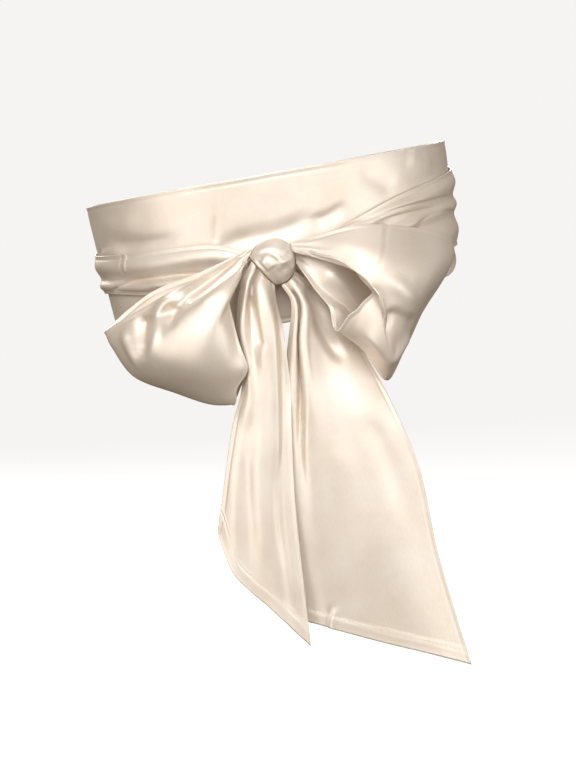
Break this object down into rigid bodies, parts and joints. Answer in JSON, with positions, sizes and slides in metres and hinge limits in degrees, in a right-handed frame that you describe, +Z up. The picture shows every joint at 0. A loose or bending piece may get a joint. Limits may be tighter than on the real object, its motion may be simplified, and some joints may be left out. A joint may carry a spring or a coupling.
{
  "type": "satin sash",
  "caption": "Wide satin waist sash wound round twice and tied at the front in a drooping bow with slanted tails.",
  "frame": {"origin": "middle of the waist ring, halfway up the band, where the wearer's waist fills it", "axes": "+Z up as worn, -Y towards the front with the bow, +X to the right as seen from the front"},
  "size_m": [0.2687, 0.2363, 0.3563],
  "materials": {
    "satin": "champagne polyester satin, soft sheen"
  },
  "bodies": {
    "root": {"waist_band": "satin", "wrap_left": "satin", "wrap_right": "satin", "knot": "satin", "loop_left": "satin", "loop_right": "satin", "tail_left": "satin", "tail_right": "satin"}
  },
  "joints": []
}
